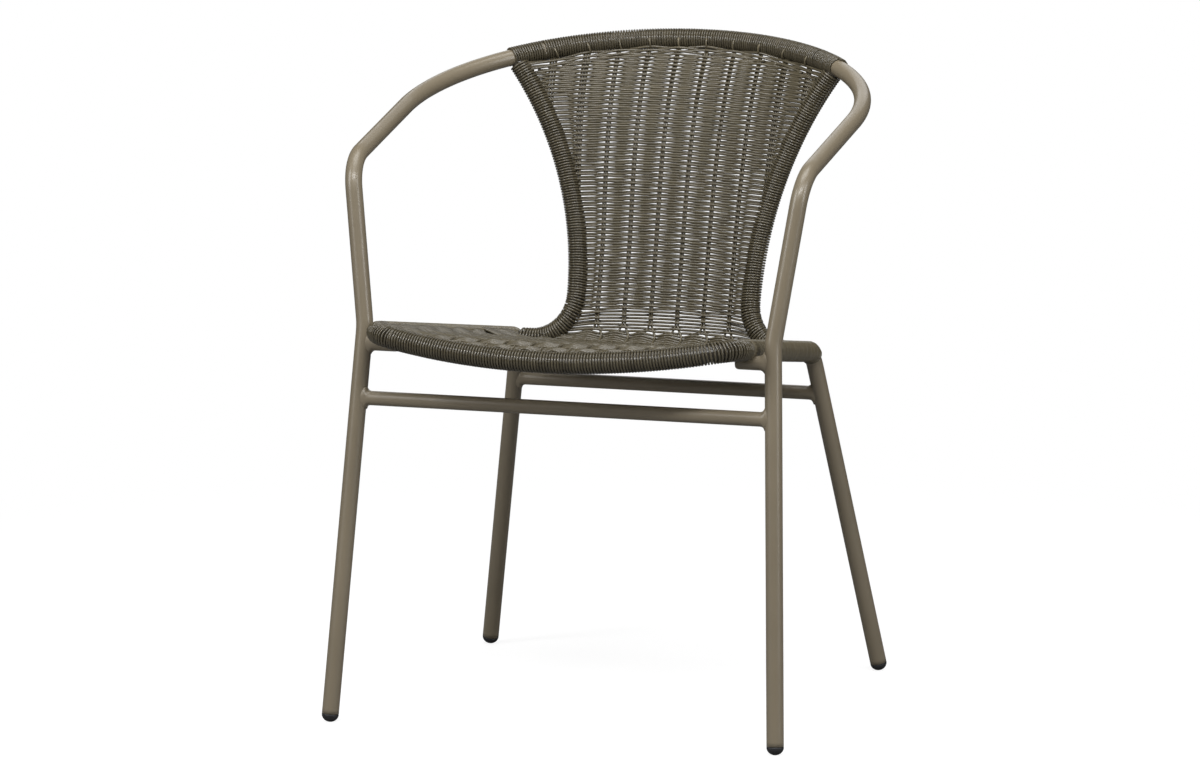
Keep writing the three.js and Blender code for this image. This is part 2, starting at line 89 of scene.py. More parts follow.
# Cross tubes
front_stretcher_height = 358.4 * mm
rear_stretcher_height = 331.2 * mm
bracket_height = 418.5 * mm
weld_fillet = 5.5 * mm
weld_share = 0.2
cross_tube_steps = 40

# Foot plugs
plug_lip = 0.3 * mm
plug_rim_drop = 0.4 * mm
plug_rim_inset = 0.5 * mm
plug_neck_radius = main_radius - 1.6 * mm
plug_neck_rise = 2 * mm
plug_dome_steps = 14
plug_spin_steps = 40

# Side tubes of the back
waist_spread = 105.3 * mm
top_joint_spread = 195 * mm
turn_radius = 50 * mm
flare_radius = 450 * mm
back_curve_radius = 1083 * mm
back_upright_height = 720 * mm

# Weave. Near the top rail the rows close up and the stakes fan out.
weft_pitch = 2.93 * mm
close_from = 540 * mm
close_run = 160 * mm
close_share = 0.33
last_row_limit = 0.7044
stake_spacing = 31.9 * mm
top_stake_spacing = 34.5 * mm
fan_from = 500 * mm
fan_run = 200 * mm
edge_stake_room = 14 * mm
row_arch = 4 * mm
seat_stake_spacing = 16 * mm
seat_pitch = 2.98 * mm
seat_bundles = 16
seat_stake_count = 11
outer_stake_room = 20 * mm
seat_end_lift = 9.3 * mm
hump_depth = 55 * mm
hump_lift = 4 * mm
seat_dish = 4 * mm
seat_bend_rise = 32 * mm
bend_foot_room = 3.8 * mm
low_bow_share = 0.1
bow_power = 4

# Windings
top_wrap_reach = 198 * mm
top_corner_reach = 168 * mm
top_rail_pitch = 3.05 * mm
front_rail_pitch = 3.28 * mm
seat_corner_pitch = 3.4 * mm
side_rail_pitch = 2.95 * mm
back_edge_pitch = 3.12 * mm
loose_pitch = 3.7 * mm
loose_run = 26 * mm
wrap_gap = 1 * mm
coil_steps = 18
coil_wander = 0.09 * mm
coil_sink = 0.1 * mm
coil_waver = 0.05 * mm

main_wrap_radius = main_radius + 2 * strand_radius
thin_wrap_radius = thin_radius + 2 * strand_radius
depth_middle = (arm_end[1] + hoop_depth + seat_corner[1] - front_rail_bow) / 2
to_row = np.array([0, -depth_middle, 0])
up_axis = np.array([0, 0, 1.0])
side_axis = np.array([1.0, 0, 0])
front_axis = np.array([0, -1.0, 0])
mirror_x = np.array([-1.0, 1, 1])


# Lines

def unit(vectors):
    return vectors / np.linalg.norm(vectors, axis=-1, keepdims=True)


def run_of(points):
    steps = np.linalg.norm(np.diff(points, axis=0), axis=1)
    return np.concatenate(([0], np.cumsum(steps)))


def along(points, distances):
    run = run_of(points)
    return np.stack([np.interp(distances, run, points[:, axis]) for axis in range(3)], axis=-1)


def evenly(points, spacing):
    length = run_of(points)[-1]
    return along(points, np.linspace(0, length, max(2, round(length / spacing)) + 1))


def sections(points, distances, reference):
    """The line's direction and two directions square to it, the first leaning to the reference."""
    nudge = 0.4 * mm
    heading = unit(along(points, distances + nudge) - along(points, distances - nudge))
    lean = unit(reference - (heading @ reference)[..., None] * heading)
    return heading, lean, np.cross(heading, lean)


def bend(before, corner, after, radius, steps=16):
    """The arc that rounds a corner between two straight runs."""
    back = unit(before - corner)
    ahead = unit(after - corner)
    half = math.acos(np.clip(back @ ahead, -1, 1)) / 2
    start = corner + back * radius / math.tan(half)
    centre = corner + unit(back + ahead) * radius / math.sin(half)
    spoke = start - centre
    side = unit(-back - (-back @ unit(spoke)) * unit(spoke))
    angles = np.linspace(0, math.pi - 2 * half, steps + 1)[:, None]
    return centre + spoke * np.cos(angles) + side * radius * np.sin(angles)


def at_height(low, high, height):
    """The point of a straight line at a height."""
    return low + (high - low) * (height - low[2]) / (high[2] - low[2])


def hoop_at(spread):
    """The setback and height of the arm loop's round rear at a spread."""
    sine = np.sqrt(np.clip(1 - (spread / arm_end[0]) ** 2, 0, 1))
    return arm_end[1] + hoop_depth * sine, arm_end[2] + hoop_rise * sine


def side_rail_at(setback):
    share = (np.asarray(setback) - seat_corner[1]) / (knee[1] - seat_corner[1])
    return seat_corner + (knee - seat_corner) * share[..., None]


def front_rail_at(share):
    """The sagging front rail, for a share of the way from its middle to the seat corner."""
    hang_share = 1 - share ** 2
    return np.stack(
        [
            share * seat_corner[0],
            seat_corner[1] - front_rail_bow * hang_share,
            seat_corner[2] - front_rail_sag * hang_share,
        ],
        axis=-1,
    )


def lean_at(height):
    return back_curve_radius - np.sqrt(back_curve_radius ** 2 - (back_upright_height - height) ** 2)


top_joint = np.array([top_joint_spread, *hoop_at(top_joint_spread)])


def back_setback_at(height):
    return top_joint[1] + lean_at(top_joint[2]) - lean_at(height)


def arc_away(radius, run):
    """How far an arc has left its tangent after a run along that tangent."""
    return radius - np.sqrt(radius ** 2 - np.clip(run, 0, radius) ** 2)


# The height at which the side tubes of the back meet the side rails
turn_height = knee[2]
for _ in range(30):
    turn_height = float(side_rail_at(back_setback_at(turn_height))[2])
turn_top = turn_height + turn_radius
flare_away = top_joint_spread - waist_spread
flare_foot = top_joint[2] - math.sqrt(flare_radius ** 2 - (flare_radius - flare_away) ** 2)


def back_spread_at(height):
    turned = arc_away(turn_radius, turn_top - height)
    return waist_spread + turned + arc_away(flare_radius, height - flare_foot)


def seat_height_at(spread_share, setback):
    """The seat's middle surface: dished between the side rails, and rolled up at the front rail."""
    front = front_rail_at(np.asarray(spread_share) * corner_end_share)
    roll_share = np.clip(1 - (setback - front[..., 1]) / hump_depth, 0, 1) ** 2
    dish = seat_dish * (1 - spread_share ** 2) * (1 - roll_share)
    level = side_rail_at(setback)[..., 2] - dish
    return level + (front[..., 2] + hump_lift - side_rail_at(front[..., 1])[..., 2]) * roll_share


# Centre-lines of the tubes, left side first
leg_to_arm = np.concatenate(
    [
        [front_foot],
        bend(front_foot, kink, elbow, kink_radius),
        bend(kink, elbow, arm_end, elbow_radius, 24),
        [arm_end],
    ]
)
hoop_angles = np.linspace(0, math.pi, 121)
hoop_spreads = arm_end[0] * np.cos(hoop_angles)
hoop_line = np.stack([hoop_spreads, *hoop_at(hoop_spreads)], axis=-1)
arm_loop_line = np.concatenate([leg_to_arm, hoop_line[1:-1], (leg_to_arm * mirror_x)[::-1]])

front_rail_end = front_rail_at(np.array(1 - corner_radius / seat_corner[0]))
corner_line = bend(knee, seat_corner, front_rail_end, corner_radius, 12)
corner_end_share = corner_line[-1][0] / seat_corner[0]
rail_mouth = corner_line[0]
rail_start = rail_mouth + unit(knee - seat_corner) * rail_lead
front_arc = front_rail_at(np.linspace(corner_end_share, -corner_end_share, 41)[1:-1])
start_and_corner = np.concatenate([[rail_start], corner_line])
front_rail_line = np.concatenate([start_and_corner, front_arc, (start_and_corner * mirror_x)[::-1]])

knee_line = bend(rear_foot, knee, seat_corner, knee_radius, 20)
rear_leg_line = np.concatenate([[rear_foot], knee_line, [rail_start]])
side_rail_line = rear_leg_line[::-1]

back_foot = side_rail_at(back_setback_at(turn_height))
turn_angles = np.linspace(math.pi / 2, 0, 17)[:-1]
turn_heights = turn_top - turn_radius * np.sin(turn_angles)
back_heights = np.concatenate([turn_heights, np.linspace(turn_top, top_joint[2], 60)])
back_tube_line = np.concatenate(
    [
        [back_foot],
        np.stack([back_spread_at(back_heights), back_setback_at(back_heights), back_heights], axis=-1),
    ]
)


# Middle surfaces of the weave

def back_depth(spread, height):
    """How far back the middle surface of the back lies at a spread and a height.

    The share of the way up depends on the hoop's height there, so it is found by repeating.
    """
    low = turn_height + seat_bend_rise
    up = (height - low) / (top_joint[2] - low)
    for _ in range(8):
        edge = back_spread_at(low + (top_joint[2] - low) * up)
        hoop = hoop_at(spread / edge * top_joint_spread)
        up = (height - low) / (hoop[1] - low)
    bow_share = low_bow_share + (1 - low_bow_share) * np.clip(up, 0, 1) ** bow_power
    bow = (hoop[0] - top_joint[1]) * bow_share
    return back_setback_at(low + (top_joint[2] - low) * up) + bow


def back_points(spread, height):
    """Points of the back's middle surface and the directions that face the sitter there."""
    step = 1 * mm
    slope = (back_depth(spread, height + step) - back_depth(spread, height - step)) / (2 * step)
    facing = unit(np.stack([np.zeros_like(slope), -np.ones_like(slope), slope], axis=-1))
    return np.stack([spread, back_depth(spread, height), height], axis=-1), facing


bend_foot_setback = back_setback_at(turn_height) - thin_wrap_radius - bend_foot_room


def bend_points(spread, share):
    """Points of the round turn from the seat up into the back, for a share of the way up it."""
    top_height = turn_height + seat_bend_rise + row_arch * (1 - (spread / waist_spread) ** 2)
    end = np.stack([spread, back_depth(spread, top_height), top_height], axis=-1)
    rail = float(side_rail_at(bend_foot_setback)[0])
    foot_height = seat_height_at(spread / rail, np.full_like(spread, bend_foot_setback))
    foot = np.stack([spread, np.full_like(spread, bend_foot_setback), foot_height], axis=-1)
    corner = np.stack([spread, end[:, 1], foot_height], axis=-1)
    first = foot + (corner - foot) * share
    second = corner + (end - corner) * share
    heading = unit(second - first)
    facing = np.stack([np.zeros_like(spread), -heading[:, 2], heading[:, 1]], axis=-1)
    return first + (second - first) * share, facing


def seat_edge_at(setback):
    """The spread of the tube beside the seat: the side rail, or the bent corner in front of it."""
    round_corner = np.interp(setback, corner_line[::-1, 1], corner_line[::-1, 0])
    return np.where(setback < rail_mouth[1], round_corner, side_rail_at(setback)[..., 0])


def seat_points(spread_share, rear_share):
    """Points of the seat's middle surface, for shares across it and back from the front rail."""
    front = front_rail_at(spread_share * corner_end_share)
    setback = front[:, 1] + (bend_foot_setback - front[:, 1]) * rear_share
    spread = spread_share * seat_edge_at(setback)
    step = 1 * mm
    height = seat_height_at(spread_share, setback)
    slope = (seat_height_at(spread_share, setback + step) - height) / step
    facing = unit(np.stack([np.zeros_like(slope), -slope, np.ones_like(slope)], axis=-1))
    return np.stack([spread, setback, height], axis=-1), facing


# Meshes

def swept(name, paths, radius, sides, radius_shares=None):
    """Round bars along paths, as one closed mesh.

    Its UV map holds the run along the bar in metres, and the turn round it.
    """
    curve = bpy.data.curves.new(name, "CURVE")
    curve.dimensions = "3D"
    curve.bevel_depth = radius
    curve.bevel_resolution = sides // 2 - 2
    curve.use_fill_caps = True
    for path in paths:
        spline = curve.splines.new("POLY")
        spline.points.add(len(path) - 1)
        rows = np.ones((len(path), 4))
        rows[:, :3] = path + to_row
        spline.points.foreach_set("co", rows.ravel())
        if radius_shares is not None:
            spline.points.foreach_set("radius", radius_shares)
    helper = bpy.data.objects.new(name, curve)
    mesh = bpy.data.meshes.new_from_object(helper)
    bpy.data.objects.remove(helper)
    bpy.data.curves.remove(curve)
    shell = bmesh.new()
    shell.from_mesh(mesh)
    bmesh.ops.remove_doubles(shell, verts=shell.verts, dist=merge_distance)
    shell.to_mesh(mesh)
    shell.free()
    mean_run = sum(run_of(path)[-1] for path in paths) / len(paths)
    layer = mesh.uv_layers[0].data
    places = np.empty(len(layer) * 2)
    layer.foreach_get("uv", places)
    places[0::2] *= mean_run
    layer.foreach_set("uv", places)
    mesh.polygons.foreach_set("use_smooth", [True] * len(mesh.polygons))
    piece = bpy.data.objects.new(name, mesh)
    bpy.context.scene.collection.objects.link(piece)
    return piece


def paint_with(piece, material):
    piece.data.materials.clear()
    piece.data.materials.append(material)


def settle(piece, material, slot, *nodes):
    paint_with(piece, material)
    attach(piece, "root")
    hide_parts(*nodes)
    return piece


def wobble(count, spacing, size):
    """A smooth random wander, with a new draw every few points."""
    knots = [draws.uniform(-size, size) for _ in range(int(count / spacing) + 3)]
    return np.interp(np.arange(count) / spacing, np.arange(len(knots)), knots)


def winding(line, start, end, pitch, radius, reference, first_turn=0):
    """A strand wound round a line as a slightly uneven helix."""
    turns = abs(end - start) / pitch
    count = int(turns * coil_steps) + 1
    turn = np.linspace(0, turns, count)
    distance = np.linspace(start, end, count) + wobble(count, coil_steps * 2, coil_wander)
    _, lean, side = sections(line, distance, reference)
    angle = 2 * math.pi * (turn + first_turn)
    out = radius - coil_sink + wobble(count, coil_steps * 0.7, coil_waver)
    spokes = lean * np.cos(angle)[:, None] + side * np.sin(angle)[:, None]
    return along(line, distance) + spokes * out[:, None]


# Finishes

def new_material(name, base, roughness):
    material = bpy.data.materials.new(name)
    material.use_nodes = True
    shader = material.node_tree.nodes["Principled BSDF"]
    shader.inputs["Roughness"].default_value = roughness
    shader.inputs["Base Color"].default_value = (*base, 1)
    return material, shader


def add(material, kind, **settings):
    node = material.node_tree.nodes.new(kind)
    for key, value in settings.items():
        if hasattr(node, key):
            setattr(node, key, value)
        else:
            node.inputs[key.replace("_", " ").title()].default_value = value
    return node


def link(material, source, target):
    material.node_tree.links.new(source, target)


def ramp(material, fac, stops):
    node = add(material, "ShaderNodeValToRGB")
    link(material, fac, node.inputs["Fac"])
    bar = node.color_ramp.elements
    for place, (position, colour) in enumerate(stops):
        stop = bar[place] if place < 2 else bar.new(position)
        stop.position = position
        stop.color = (*colour, 1)
    return node.outputs["Color"]


def noise(material, vector, scale, detail=2.0, roughness=0.5):
    node = add(material, "ShaderNodeTexNoise", scale=scale, detail=detail, roughness=roughness)
    link(material, vector, node.inputs["Vector"])
    return node.outputs["Fac"]


def stretched(material, source, scale):
    node = add(material, "ShaderNodeMapping", scale=scale)
    link(material, source, node.inputs["Vector"])
    return node.outputs["Vector"]


def add_bump(material, shader, height, strength, distance):
    node = add(material, "ShaderNodeBump", strength=strength, distance=distance)
    link(material, height, node.inputs["Height"])
    link(material, node.outputs["Normal"], shader.inputs["Normal"])


def shade(colour, share):
    return tuple(channel * share for channel in colour)


paint_base = (0.186, 0.155, 0.107)
wicker_base = (0.085, 0.072, 0.046)
plug_base = (0.010, 0.010, 0.011)
roughness_range = 0.1


def powder_coat(name, base):
    material, shader = new_material(name, base, 0.4)
    place = add(material, "ShaderNodeTexCoord").outputs["Object"]
    cloud = noise(material, place, scale=9.0, detail=3.0)
    tint = ramp(material, cloud, [(0.3, shade(base, 0.94)), (0.7, shade(base, 1.05))])
    link(material, tint, shader.inputs["Base Color"])
    grain = noise(material, place, scale=700.0)
    add_bump(material, shader, grain, strength=0.05, distance=0.0001)
    sheen = noise(material, place, scale=45.0)
    gloss = ramp(material, sheen, [(0.3, (0.3,) * 3), (0.7, (0.38,) * 3)])
    link(material, gloss, shader.inputs["Roughness"])
    shader.inputs["Coat Weight"].default_value = 0.15
    shader.inputs["Coat Roughness"].default_value = 0.3
    return material


def wicker(name, grain_scale, base=wicker_base, least_roughness=0.2):
    """Extruded strand. The grain scale is low along a piece's strands and high across them."""
    material, shader = new_material(name, base, 0.34)
    place = add(material, "ShaderNodeTexCoord").outputs["Object"]
    grained = stretched(material, place, grain_scale)
    fade = noise(material, grained, scale=1.0, detail=3.0, roughness=0.6)
    tints = [(0.28, shade(base, 0.72)), (0.5, base), (0.72, shade(base, 1.25))]
    tint = ramp(material, fade, tints)
    link(material, tint, shader.inputs["Base Color"])
    run = add(material, "ShaderNodeUVMap", uv_map="UVMap").outputs["UV"]
    streaked = stretched(material, run, (60.0, 14.0, 1.0))
    streak = noise(material, streaked, scale=1.0, detail=3.0, roughness=0.6)
    add_bump(material, shader, streak, strength=0.2, distance=0.0002)
    most_roughness = least_roughness + roughness_range
    gloss = ramp(material, streak, [(0.3, (least_roughness,) * 3), (0.7, (most_roughness,) * 3)])
    link(material, gloss, shader.inputs["Roughness"])
    return material


def plug_plastic():
    material, shader = new_material("black_plug_plastic", plug_base, 0.55)
    place = add(material, "ShaderNodeTexCoord").outputs["Object"]
    scuff = noise(material, place, scale=160.0, detail=4.0)
    tint = ramp(material, scuff, [(0.35, plug_base), (0.75, shade(plug_base, 2.4))])
    link(material, tint, shader.inputs["Base Color"])
    add_bump(material, shader, scuff, strength=0.2, distance=0.0003)
    return material


coat = powder_coat("taupe_powder_coat", paint_base)
# Paint for the tubes under the windings, darkened to a fifth of the base: painted shade for the deep
# gaps between the turns.
painted_shade_coat = powder_coat("taupe_coat_painted_shade_under_strand", shade(paint_base, 0.2))
weft_wicker = wicker("wicker_weft", (9.0, 240.0, 260.0))
seat_wicker = wicker("wicker_seat_weft", (8.0, 250.0, 240.0))
# The wound windings take the wicker base darkened by 0.82: painted shade that deepens the dark grooves
# between the turns.
painted_shade_wound_wicker = wicker("wicker_wound_painted_shade", (240.0, 30.0, 30.0), shade(wicker_base, 0.82), 0.14)
# The side rail windings take the wicker base lightened by 1.3: painted light, standing in for lamp
# light on the rails.
painted_light_rail_wicker = wicker("wicker_rail_painted_light", (30.0, 240.0, 30.0), shade(wicker_base, 1.3))
# The back edge windings take the wicker base darkened by 0.9: painted shade that deepens the grooves
# between the turns.
painted_shade_edge_wicker = wicker("wicker_edge_painted_shade", (30.0, 30.0, 240.0), shade(wicker_base, 0.9), 0.14)
end_wicker = wicker("wicker_stake_ends", (120.0, 30.0, 30.0), shade(wicker_base, 1.45))
stake_wicker = wicker("wicker_stakes", (240.0, 240.0, 12.0), shade(wicker_base, 1.15))
plug_black = plug_plastic()


# Frame tubes

def frame_tube(name, line, radius, nodes, spacing=tube_step, paint=coat):
    piece = swept(name, [evenly(line, spacing)], radius, tube_sides)
    return settle(piece, paint, "frame_paint", *nodes)


def weld_flare(piece, centre_height, surface_at, radius):
    """Draws a cross tube's end up and down the leg that it meets, as its weld does."""
    for corner in piece.data.vertices:
        gap = surface_at(corner.co) - abs(corner.co.x)
        if gap < weld_fillet:
            inside = min(weld_fillet - gap, weld_fillet)
            rise = weld_fillet - math.sqrt(weld_fillet ** 2 - inside ** 2)
            corner.co.z += rise * (corner.co.z - centre_height) / radius


def cross_tube(name, low, high, height, nodes):
    """A tube between two legs, with its welds. Its rings lie close together near the welds."""
    middle = at_height(low, high, height)
    inward_shares = np.linspace(0, 1, cross_tube_steps) ** 2 * weld_share
    reach = middle[0] * (1 - inward_shares)
    half = np.stack([reach, np.full_like(reach, middle[1]), np.full_like(reach, middle[2])], axis=-1)
    line = np.concatenate([half, (half * mirror_x)[::-1]])
    piece = swept(name, [line], thin_radius, tube_sides)
    lean = (high[0] - low[0]) / (high[2] - low[2])

    def leg_surface(corner):
        return middle[0] + lean * (corner.z - height) - main_radius

    weld_flare(piece, height, leg_surface, thin_radius)
    return settle(piece, coat, "frame_paint", *nodes)


frame_tube("arm_loop_tube", arm_loop_line, main_radius - facet_room, ["arm_loop"], fine_tube_step)
# The front rail under its winding takes the paint darkened as painted shade.
frame_tube("front_rail_tube", front_rail_line, main_radius, ["seat_front_rail"], paint=painted_shade_coat)
cross_tube("front_stretcher_tube", front_foot, kink, front_stretcher_height, ["front_stretcher"])
cross_tube("rear_stretcher_tube", rear_foot, knee, rear_stretcher_height, ["rear_stretcher"])


def bracket(side_name, flip):
    """A stub with close rings at the leg, for its weld, and a rounded far end."""
    start = at_height(front_foot, kink, bracket_height)
    reach = np.array([0, 3, 6, 8, 10, 12, 14, 16, 18, 20, 26, 32, 38, 40.4, 41.6, 42]) * mm
    across = np.full_like(reach, start[1])
    line = np.stack([start[0] - reach, across, np.full_like(reach, start[2])], axis=-1)
    radius_shares = [1.0] * 13 + [0.96, 0.86, 0.7]
    name = f"seat_bracket_stub_{side_name}"
    piece = swept(name, [line * flip], thin_radius, tube_sides, radius_shares)
    lean = (kink[0] - front_foot[0]) / (kink[2] - front_foot[2])

    def leg_surface(corner):
        return start[0] + lean * (corner.z - bracket_height) - main_radius

    weld_flare(piece, bracket_height, leg_surface, thin_radius)
    settle(piece, coat, "frame_paint", f"seat_bracket_{side_name}")


def foot_plug(name, foot, above, flip, node):
    """A domed plug, spun from its profile, with a thin lip under the tube's end."""
    profile = [
        (0, plug_neck_rise),
        (plug_neck_radius, plug_neck_rise),
        (plug_neck_radius, -plug_lip),
        (main_radius - plug_rim_inset, -plug_lip),
    ]
    rim_height = -plug_lip - plug_rim_drop
    dome_depth = foot[2] - plug_lip - plug_rim_drop
    for step in range(plug_dome_steps + 1):
        angle = math.pi / 2 * step / plug_dome_steps
        profile.append((main_radius * math.cos(angle), rim_height - dome_depth * math.sin(angle)))
    shell = bmesh.new()
    corners = [shell.verts.new((across, 0, height)) for across, height in profile]
    for first, second in zip(corners, corners[1:]):
        shell.edges.new((first, second))
    bmesh.ops.spin(
        shell,
        geom=shell.verts[:] + shell.edges[:],
        cent=(0, 0, 0),
        axis=(0, 0, 1),
        angle=2 * math.pi,
        steps=plug_spin_steps,
        use_merge=True,
    )
    bmesh.ops.remove_doubles(shell, verts=shell.verts, dist=2 * merge_distance)
    bmesh.ops.recalc_face_normals(shell, faces=shell.faces)
    lean = Vector(unit(above - foot))
    turn = Vector((0, 0, 1)).rotation_difference(lean).to_matrix()
    for corner in shell.verts:
        corner.co = turn @ corner.co + Vector(foot + to_row)
        corner.co.z = max(corner.co.z, 0)
        corner.co.x *= flip[0]
    bmesh.ops.recalc_face_normals(shell, faces=shell.faces)
    mesh = bpy.data.meshes.new(name)
    shell.to_mesh(mesh)
    shell.free()
    mesh.polygons.foreach_set("use_smooth", [True] * len(mesh.polygons))
    piece = bpy.data.objects.new(name, mesh)
    bpy.context.scene.collection.objects.link(piece)
    settle(piece, plug_black, "foot_plastic", node)


sides = {"left": np.ones(3), "right": mirror_x}
for side_name, flip in sides.items():
    leg = f"rear_leg_tube_{side_name}"
    leg_nodes = [f"rear_leg_{side_name}"]
    frame_tube(leg, rear_leg_line * flip, main_radius, leg_nodes, fine_tube_step)
    tube = f"back_tube_{side_name}"
    tube_nodes = [f"back_side_tube_{side_name}"]
    # The back side tube under its winding takes the paint darkened as painted shade.
    frame_tube(tube, back_tube_line * flip, thin_radius, tube_nodes, paint=painted_shade_coat)
    bracket(side_name, flip)
    foot_plug(f"front_plug_{side_name}", front_foot, kink, flip, f"front_foot_plug_{side_name}")
    foot_plug(f"rear_plug_{side_name}", rear_foot, knee, flip, f"rear_foot_plug_{side_name}")


# Wound rails

wound_radius = main_radius + strand_radius
thin_wound_radius = thin_radius + strand_radius
tie_steps = 14
tie_low_angle = math.radians(152)
tie_high_angle = math.radians(80)
tie_drift = 1.1 * mm
tie_lift = 2.1 * mm
tie_landing = 1.06
tie_roundness = 0.6


def crossing(line, spread):
    """The distance along a line, which runs from left to right, at which it passes a spread."""
    return float(np.interp(-spread, -line[:, 0], run_of(line)))


def wicker_piece(name, paths, material, nodes, radius=wound_strand, sides_count=strand_sides):
    return settle(swept(name, paths, radius, sides_count), material, "wicker", *nodes)


top_left = crossing(hoop_line, top_wrap_reach)
top_inner_left = crossing(hoop_line, top_corner_reach)
top_inner_right = crossing(hoop_line, -top_corner_reach)
top_right = crossing(hoop_line, -top_wrap_reach)
wicker_piece(
    "top_rail_winding",
    [winding(hoop_line, top_inner_left, top_inner_right, top_rail_pitch, wound_radius, up_axis)],
    painted_shade_wound_wicker,
    ["top_rail_wrap"],
)


def tie_strand(place):
    """The end of a back stake, hooked up over the front of the wound top rail."""
    spread = place * top_stake_spacing
    distance = crossing(hoop_line, spread)
    angles = np.linspace(tie_low_angle, tie_high_angle, tie_steps)
    shares = np.linspace(0, 1, tie_steps)
    drift = place * tie_drift * shares
    _, lean, side = sections(hoop_line, distance - drift, up_axis)
    arch_shares = np.sin(math.pi * np.clip(shares * tie_landing, 0, 1)) ** tie_roundness
    lift = wound_radius + tie_lift * arch_shares
    spokes = lean * np.cos(angles)[:, None] - side * np.sin(angles)[:, None]
    return along(hoop_line, distance - drift) + spokes * lift[:, None]


top_corner_runs = {"left": (top_left, top_inner_left), "right": (top_inner_right, top_right)}
for side_name, (start, end) in top_corner_runs.items():
    coil = winding(hoop_line, start, end, top_rail_pitch, wound_radius, up_axis)
    nodes = [f"top_corner_wrap_{side_name}"]
    wicker_piece(f"top_corner_winding_{side_name}", [coil], painted_shade_wound_wicker, nodes)

front_left = float(run_of(front_rail_line)[len(start_and_corner) - 1])
front_right = run_of(front_rail_line)[-1] - front_left
wicker_piece(
    "front_rail_winding",
    [winding(front_rail_line, front_left, front_right, front_rail_pitch, wound_radius, up_axis)],
    painted_shade_wound_wicker,
    ["front_rail_wrap"],
)
for side_name, flip in sides.items():
    coil = winding(front_rail_line, 0, front_left, seat_corner_pitch, wound_radius, up_axis)
    nodes = [f"seat_corner_wrap_{side_name}"]
    wicker_piece(f"seat_corner_winding_{side_name}", [coil * flip], painted_shade_wound_wicker, nodes)


# How strands cross

least_gap = 1e-6
seat_flatness = 1


def ease(share):
    return (1 - np.cos(math.pi * np.clip(share, 0, 1))) / 2


def over_and_under(spread, crossings, offsets, flatness):
    """A strand's offset at each spread.

    A flatness above 1 bends it close round each stake and lays it flatter between two.
    """
    place = np.clip(np.searchsorted(crossings, spread) - 1, 0, len(crossings) - 2)
    gap = np.maximum(crossings[place + 1] - crossings[place], least_gap)
    share = (spread - crossings[place]) / gap
    wave = np.cos(math.pi * np.clip(share, 0, 1))
    swing_share = (1 - np.sign(wave) * np.abs(wave) ** flatness) / 2
    return offsets[place] + (offsets[place + 1] - offsets[place]) * swing_share


# Woven back

def row_pitch_at(height):
    """The rows close up towards the top rail, where the panel leans away."""
    share = np.clip((height - close_from) / close_run, 0, 1)
    return weft_pitch * (1 - close_share * share ** 2)


def stake_spacing_at(height):
    """The stakes fan out towards the top rail."""
    fan_share = np.clip((height - fan_from) / fan_run, 0, 1)
    return stake_spacing + (top_stake_spacing - stake_spacing) * fan_share


def stakes_at(height, edge):
    """The numbers and spreads of the stakes between the side tubes, whose spread is the edge."""
    spacing = stake_spacing_at(height)
    count = int((edge - edge_stake_room) / spacing + 0.5)
    numbers = np.arange(-count, count)
    return numbers, (numbers + 0.5) * spacing


back_low = turn_height + seat_bend_rise
bend_rows = 15
bundled_turn_rows = 8
weft_step = 3.6 * mm
edge_slack = 0.9 * mm
border_strands = 4
border_pitch = 2.7 * mm
border_room = 0.9 * mm
border_overlap = 0.8
border_steps = 130
border_flatness = 1.4
border_lift_share = 0.8
hoop_steepness = 3.3
row_heights = [back_low + row_arch + 0.5 * weft_pitch]
while row_heights[-1] < last_row_limit:
    row_heights.append(row_heights[-1] + row_pitch_at(row_heights[-1]))
back_run = run_of(back_tube_line)
back_low_run = float(np.interp(back_low, back_tube_line[:, 2], back_run))
wrap_start_run = main_wrap_radius + wrap_gap


def back_row_run(row):
    """Where a row meets the side tube, as a distance along it."""
    if row < bend_rows:
        return wrap_start_run + (back_low_run - wrap_start_run) * (row + 0.5) / bend_rows
    height = row_heights[row - bend_rows] - row_arch
    return float(np.interp(height, back_tube_line[:, 2], back_run))


def border_height(spread, place):
    """The height of one of the strands that run along under the top rail."""
    hoop = hoop_at(spread)
    steep = (hoop[0] - top_joint[1]) / hoop_depth * hoop_steepness
    below = main_wrap_radius + border_room + border_pitch * place
    return hoop[1] - below / np.sqrt(1 + steep ** 2)


def woven(points, facing, stakes, signs, lift, end_lifts, flatness):
    """A strand led over and under its stakes, and in under the turns of the bar at each end."""
    crossings = np.concatenate([[points[0, 0]], stakes, [points[-1, 0]]])
    offsets = np.concatenate([[end_lifts[0]], signs * lift, [end_lifts[1]]])
    return points + facing * over_and_under(points[:, 0], crossings, offsets, flatness)[:, None]


def alternate(numbers, row):
    """1 where a row passes in front of a stake, -1 where it passes behind."""
    return np.where((numbers + row) % 2 == 0, 1.0, -1.0)


back_lift = 2.92 * mm
back_flatness = 3.3
turn_flatness = 6
row_end_lift = 5.5 * mm
cut_end_lift = 1.5 * mm
nest_tilt = 0.42
back_wander = 0.16 * mm
border_wander = 0.3 * mm
wander_steps = 9
border_wander_steps = 11


def nested(facing):
    """Rows nest: a strand rides up a little in front of a stake, and down behind it."""
    tilt = np.maximum(-facing[:, 2] / facing[:, 1], nest_tilt)
    return unit(np.stack([np.zeros_like(tilt), -np.ones_like(tilt), tilt], axis=-1))


